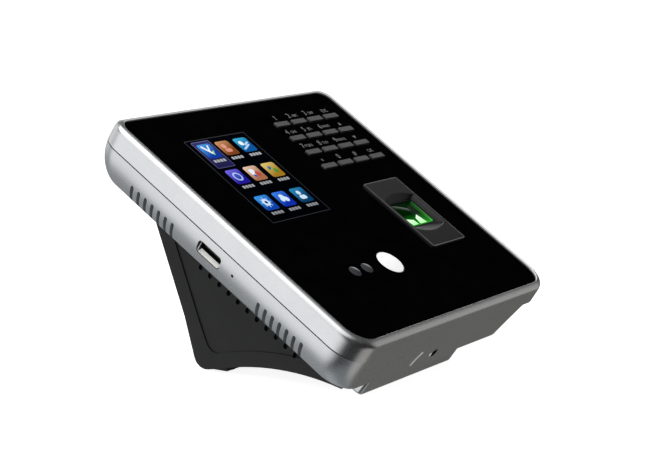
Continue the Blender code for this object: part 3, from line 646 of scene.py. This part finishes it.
LEFT, MIDDLE, RIGHT = COLUMNS
UPPER, CENTRE, LOWER = ROWS
GLYPHS = (
    ("white", (0.62, 0.78, 0.95), (0.92, 0.97, 1.0), 0.95,
     [bar(LEFT - 0.9, UPPER + 0.8, 6.4, 1.3, -58), bar(LEFT + 1.2, UPPER + 1.8, 4.4, 0.9, 60),
      disc(RIGHT - 1.6, UPPER + 1.3, 1.5), disc(LEFT - 0.2, LOWER + 0.2, 2.3),
      disc(MIDDLE - 0.3, LOWER + 1.3, 1.7), disc(MIDDLE + 1.5, LOWER - 0.4, 1.6),
      disc(MIDDLE - 1.4, LOWER - 0.4, 1.3), disc(RIGHT - 0.6, LOWER + 1.6, 1.4),
      oblong(RIGHT - 0.2, LOWER - 1.4, 4.8, 2.6, 1.2),
      oblong(MIDDLE - 1.1, CENTRE + 0.9, 3.6, 3.8, 1.1)]),
    ("pale", (0.20, 0.42, 0.85), (0.55, 0.75, 1.0), 0.9,
     [bar(RIGHT - 0.3, UPPER - 1.5, 6.6, 1.0, 24), bar(RIGHT + 1.4, UPPER + 0.6, 4.2, 1.0, 24)]
     + [bar(LEFT - 0.2 + 2.8 * cos(radians(45 * n)), LOWER + 0.2 + 2.8 * sin(radians(45 * n)),
            1.2, 1.0, 45 * n) for n in range(8)]
     + [bar(LEFT + 2.3 * cos(radians(30 * n + 10)), CENTRE + 2.3 * sin(radians(30 * n + 10)),
            1.5, 0.9, 30 * n + 100) for n in range(12)]),
    ("rose", (0.55, 0.06, 0.04), (0.95, 0.40, 0.30), 0.8,
     [disc(MIDDLE + 1.2, CENTRE - 0.6, 1.7), disc(MIDDLE - 1.0, UPPER + 1.3, 1.5),
      oblong(MIDDLE - 0.3, UPPER - 1.6, 4.4, 2.4, 1.0)]),
    ("leaf", (0.05, 0.28, 0.03), (0.45, 0.80, 0.18), 0.85,
     [bar(LEFT + 1.5, UPPER - 1.5, 3.0, 0.9, 60), disc(RIGHT + 1.3, CENTRE - 0.8, 1.5),
      bar(RIGHT - 1.3, CENTRE + 1.0, 3.4, 1.2, 35)]),
    ("deep", (0.01, 0.03, 0.25), (0.04, 0.14, 0.55), 0.8,
     [disc(LEFT - 0.2, LOWER + 0.2, 0.95), disc(RIGHT - 1.4, CENTRE + 1.4, 1.0),
      disc(MIDDLE - 1.6, CENTRE - 1.6, 0.9), disc(LEFT, CENTRE, 0.8)]))
for level, (tone, low, high, strength, shapes) in enumerate(GLYPHS):
    plates(f"screen_glyphs_{tone}", shapes, lit(f"glyph_{tone}", low, high, strength),
           0.09 + 0.012 * level, 0.01)

captions = []
for y in ROWS:
    for x in COLUMNS:
        for n in range(4):
            captions.append(oblong(x - 3.3 + 2.2 * n, y - 6.9, 1.6, 1.7, 0.2))
plates("screen_captions", captions,
       lit("caption_white", (0.45, 0.47, 0.5), (0.7, 0.72, 0.75), 0.55), 0.06)

# --------------------------------------------------- fingerprint reader
def arched(cx, y0, y1, half, bow_top, bow_low, z):
    """Ring with straight sides and bowed ends."""
    ring, steps = [], 12
    for n in range(steps + 1):
        x = -half + 2 * half * n / steps
        ring.append((cx + x, y0 + bow_low * (x / half) ** 2, z))
    for n in range(1, 8):
        ring.append((cx + half, y0 + bow_low + (y1 - bow_top - y0 - bow_low) * n / 8, z))
    for n in range(steps + 1):
        x = half - 2 * half * n / steps
        ring.append((cx + x, y1 - bow_top * (x / half) ** 2, z))
    for n in range(1, 8):
        ring.append((cx - half, y1 - bow_top + (y0 + bow_low - y1 + bow_top) * n / 8, z))
    return ring


finger = solid("fingerprint_bezel_shell",
               [block(FINGER_X, FINGER_Y, FINGER_W, FINGER_H,
                      ((-5.4, 0), (0.45, 0), (0.68, 0.1), (0.82, 0.28), (0.9, 0.5)),
                      FINGER_R, 6)], BEZEL, nodes=["fingerprint_bezel"])
WELL = ((WINDOW_Z, 11.5, 7.6, 9.6, 0.3, 0.5), (-1.2, 11.6, 8.8, 10.0, 0.6, 0.9),
        (-0.4, 12.0, 11.0, 11.0, 1.3, 1.8), (0.3, 12.4, 12.8, 12.1, 2.3, 2.8),
        (0.95, 12.9, 14.0, 13.1, 3.2, 3.6))   # z, half width, reach down and up, bows
carve(finger,
      solid("finger_well", [[arched(FINGER_X, FINGER_Y - low, FINGER_Y + high, half, top, bottom, z)
                             for z, half, low, high, top, bottom in WELL]]),
      solid("window_slot", [block(FINGER_X, WINDOW_Y, WINDOW_W + 0.5, WINDOW_H + 0.6,
                                  ((-7, 0), (0, 0)), 0.4, 3)]))
for piece in (glass, finger):
    piece.modifiers.new("even", "WEIGHTED_NORMAL").keep_sharp = True
# a lighter line round the top of the bezel: painted highlight on its edge
rim("fingerprint_bezel_painted_highlight", FINGER_X, FINGER_Y, FINGER_W - 0.5, FINGER_H - 0.5, 0.35, 1.0,
    BEZEL_HIGHLIGHT_GREY, 0.89, 0.02)
prism = lit("green_prism", (0.02, 0.62, 0.03), (0.0005, 0.012, 0.001), 0.9, 0.05)
ramp = next(n for n in prism.node_tree.nodes if n.type == "VALTORGB").color_ramp
ramp.elements[0].position, ramp.elements[1].position = 0.12, 0.62
middle = ramp.elements.new(0.34)
middle.color = (0.006, 0.20, 0.012, 1)
solid("fingerprint_window_glass",
      [block(FINGER_X, WINDOW_Y, WINDOW_W, WINDOW_H,
             ((-5.2, 0), (-2.05, 0), (-1.88, 0.06), (-1.8, 0.2)), 0.5, 4)], prism,
      nodes=["fingerprint_window"])

# light that the prism gathers along its lower edge
plates("window_glints", [[(FINGER_X + x, WINDOW_Y + y) for x, y in corners] for corners in
                         (((-6.8, -7.1), (-2.0, -7.1), (-2.6, -4.0), (-8.2, -2.4)),
                          ((-0.4, -7.1), (5.4, -7.1), (3.6, -1.2), (0.4, -3.2)))],
       lit("window_glint", (0.45, 1.0, 0.40), (0.90, 1.0, 0.88), 1.0), WINDOW_Z - 0.19, 0.02)
plates("window_side_glint", [oblong(FINGER_X + 10.6, WINDOW_Y, 0.3, 14.2, 0.14)],
       lit("side_glint", (0.20, 0.85, 0.15), (0.02, 0.30, 0.03), 0.9), WINDOW_Z - 0.19, 0.02)

# ------------------------------------------------------------- face camera
for side, x in zip(("left", "right"), LENS_XS):
    solid(f"camera_lens_{side}_glass",
          [turned((x, LENS_Y, -8.6), (0, 0, 1), ((0, 3.6), (4.6, 3.6), (4.6, LENS_R), (8.3, LENS_R),
                                                 (8.5, LENS_R - 0.1), (8.6, LENS_R - 0.35)), 64)],
          LENS, nodes=[f"camera_lens_{side}"])
solid("illuminator_window_disc",
      [turned((DISC_X, DISC_Y, -3.5), (0, 0, 1),
              ((0, 7.6), (1.1, 7.6), (1.1, DISC_R), (3.25, DISC_R), (3.42, DISC_R - 0.08),
               (3.5, DISC_R - 0.3)), 96)],
      WHITE, nodes=["illuminator_window"])

# --------------------------------------------------------------- sockets
shell = solid("usb_socket_shell", [usb(USB_W, USB_H, 1.3, (-81.3, -63.5))], STEEL,
              nodes=["usb_socket"])
carve(shell, tinted(solid("usb_mouth", [usb(USB_W - 0.7, USB_H - 0.7, 0.9, (-82, -65))]), DARK))
LIP_Z = USB_Z - USB_H / 2 + 0.3
# the socket's steel lower lip, made brighter by glowing: a painted highlight on a real lip
solid("usb_socket_lip_highlight",
      [[[(-81.5, y, LIP_Z - 0.1), (-79.6, y, LIP_Z + 1.1), (-79.6, y, LIP_Z - 0.1)]
        for y in (USB_Y - 5.7, USB_Y + 5.7)]], LIP)
solid("usb_tongue", [[[(x, USB_Y + dy, USB_Z + dz) for dy, dz in
                       ((-5.5, 0.1), (5.5, 0.1), (5.5, 1.8), (-5.5, 1.8))]
                      for x in (-79.0, -64.6)]], DARK)
solid("usb_contacts", [[[(x, USB_Y + y + dy, USB_Z + dz) for dy, dz in
                         ((-0.5, -0.08), (0.5, -0.08), (0.5, 0.08), (-0.5, 0.08))]
                        for x in (-78.6, -66.0)] for y in (-3.75, -1.25, 1.25, 3.75)], GOLD)

EDGE_ROUND = 0.35                             # the stand's edges, in mm
for name in ("stand_side_left", "stand_side_right", "stand_deck", "stand_back"):
    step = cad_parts[name].modifiers.new("edges", "BEVEL")
    step.width = EDGE_ROUND * MM
    step.segments = 2
    step.limit_method = "ANGLE"
    step.angle_limit = radians(40.0)
    step.harden_normals = False

# ------------------------------------------------- floor, light and camera
scene = bpy.context.scene
scene.view_settings.view_transform = "Standard"
scene.view_settings.look = "None"
bpy.ops.mesh.primitive_plane_add(size=40, location=(0, 0, 0))
floor = bpy.context.object
floor.name = "floor"
pale = bpy.data.materials.new("floor_pale")
pale.use_nodes = True
shader = pale.node_tree.nodes["Principled BSDF"]
socket(shader, "Base Color", (0.8, 0.8, 0.8, 1))
socket(shader, "Roughness", 0.9)
socket(shader, "Specular IOR Level", 0.1)
socket(shader, "Emission Color", (1, 1, 1, 1))
socket(shader, "Emission Strength", 0.9)
floor.data.materials.append(pale)
floor.visible_glossy = False
floor.visible_diffuse = False
floor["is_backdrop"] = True

LIGHT_AT, LIGHT_AIM = Vector((-0.5, 0.3, 1.5)), Vector((0, 0, 0.05))
light = bpy.data.lights.new("key_light", "AREA")
light.shape = "RECTANGLE"
light.size, light.size_y = 1.0, 1.0
light.energy = 9
softbox = bpy.data.objects.new("key_light", light)
softbox.location = LIGHT_AT
softbox.rotation_euler = (LIGHT_AIM - LIGHT_AT).to_track_quat("-Z", "Y").to_euler()
scene.collection.objects.link(softbox)

# soft patches of the studio: direction, outer and inner half angle, strength, tint
STUDIO = (
    ((-0.85, 0.45, -0.10), 50, 14, 0.95, (0.98, 0.99, 1.0)),    # bright wall at the left
    ((-0.50, -0.10, 0.86), 50, 18, 1.10, (1.0, 1.0, 1.0)),      # ceiling panel
    ((0.00, 0.93, 0.36), 34, 12, 0.70, (1.0, 1.0, 1.0)),        # wall behind
    ((0.78, 0.58, 0.12), 32, 18, 1.15, (1.0, 1.0, 1.0)),        # low backdrop, far right
    ((0.80, 0.50, 0.34), 22, 10, 1.0, (1.0, 1.0, 1.0)),         # high backdrop, far right
    ((0.82, -0.56, 0.02), 34, 12, 0.34, (1.0, 0.99, 0.96)),     # near right
    ((0.82, -0.05, -0.56), 44, 16, 0.13, (1.0, 1.0, 0.93)),     # table to the right
    ((0.27, -0.46, -0.85), 25, 9, 0.34, (1.0, 0.97, 0.92)),     # table in front
    ((0.10, 0.80, -0.58), 52, 15, 0.27, (0.92, 0.97, 1.0)),     # table behind
    ((0.05, 0.12, -0.99), 36, 16, 0.20, (0.86, 0.94, 1.0)))     # table beneath

world = bpy.data.worlds.new("studio")
scene.world = world
world.use_nodes = True
tree = world.node_tree
back = tree.nodes["Background"]
socket(back, "Strength", 1.0)
coord = tree.nodes.new("ShaderNodeTexCoord")
total = None
for direction, outer, inner, strength, tint in STUDIO:
    facing = tree.nodes.new("ShaderNodeVectorMath")
    facing.operation = "DOT_PRODUCT"
    facing.inputs[1].default_value = Vector(direction).normalized()
    tree.links.new(coord.outputs["Generated"], facing.inputs[0])
    edge = tree.nodes.new("ShaderNodeMapRange")
    edge.interpolation_type = "SMOOTHSTEP"
    socket(edge, "From Min", cos(radians(outer)))
    socket(edge, "From Max", cos(radians(inner)))
    tree.links.new(facing.outputs["Value"], edge.inputs["Value"])
    patch = tree.nodes.new("ShaderNodeVectorMath")
    patch.operation = "SCALE"
    patch.inputs[0].default_value = [strength * channel for channel in tint]
    tree.links.new(edge.outputs["Result"], patch.inputs["Scale"])
    if total is None:
        total = patch
    else:
        both = tree.nodes.new("ShaderNodeVectorMath")
        both.operation = "ADD"
        tree.links.new(total.outputs["Vector"], both.inputs[0])
        tree.links.new(patch.outputs["Vector"], both.inputs[1])
        total = both
path = tree.nodes.new("ShaderNodeLightPath")
shown = tree.nodes.new("ShaderNodeMix")
shown.data_type = "RGBA"
tree.links.new(path.outputs["Is Camera Ray"], shown.inputs["Factor"])
tree.links.new(total.outputs["Vector"], shown.inputs["A"])
shown.inputs["B"].default_value = (1, 1, 1, 1)
tree.links.new(shown.outputs["Result"], back.inputs["Color"])

CAMERA_FROM_HOME = Vector((-0.7227, -0.46505, 0.1361))
CAMERA_PITCH, CAMERA_YAW = radians(80.17), radians(-56.71)
lens = bpy.data.cameras.new("camera")
lens.lens = 108.05
lens.sensor_width = 36.0
lens.clip_end = 100.0
camera = bpy.data.objects.new("camera", lens)
camera.location = HOME + CAMERA_FROM_HOME
camera.rotation_euler = Euler((CAMERA_PITCH, 0, CAMERA_YAW))
scene.collection.objects.link(camera)
scene.camera = camera

low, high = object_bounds()
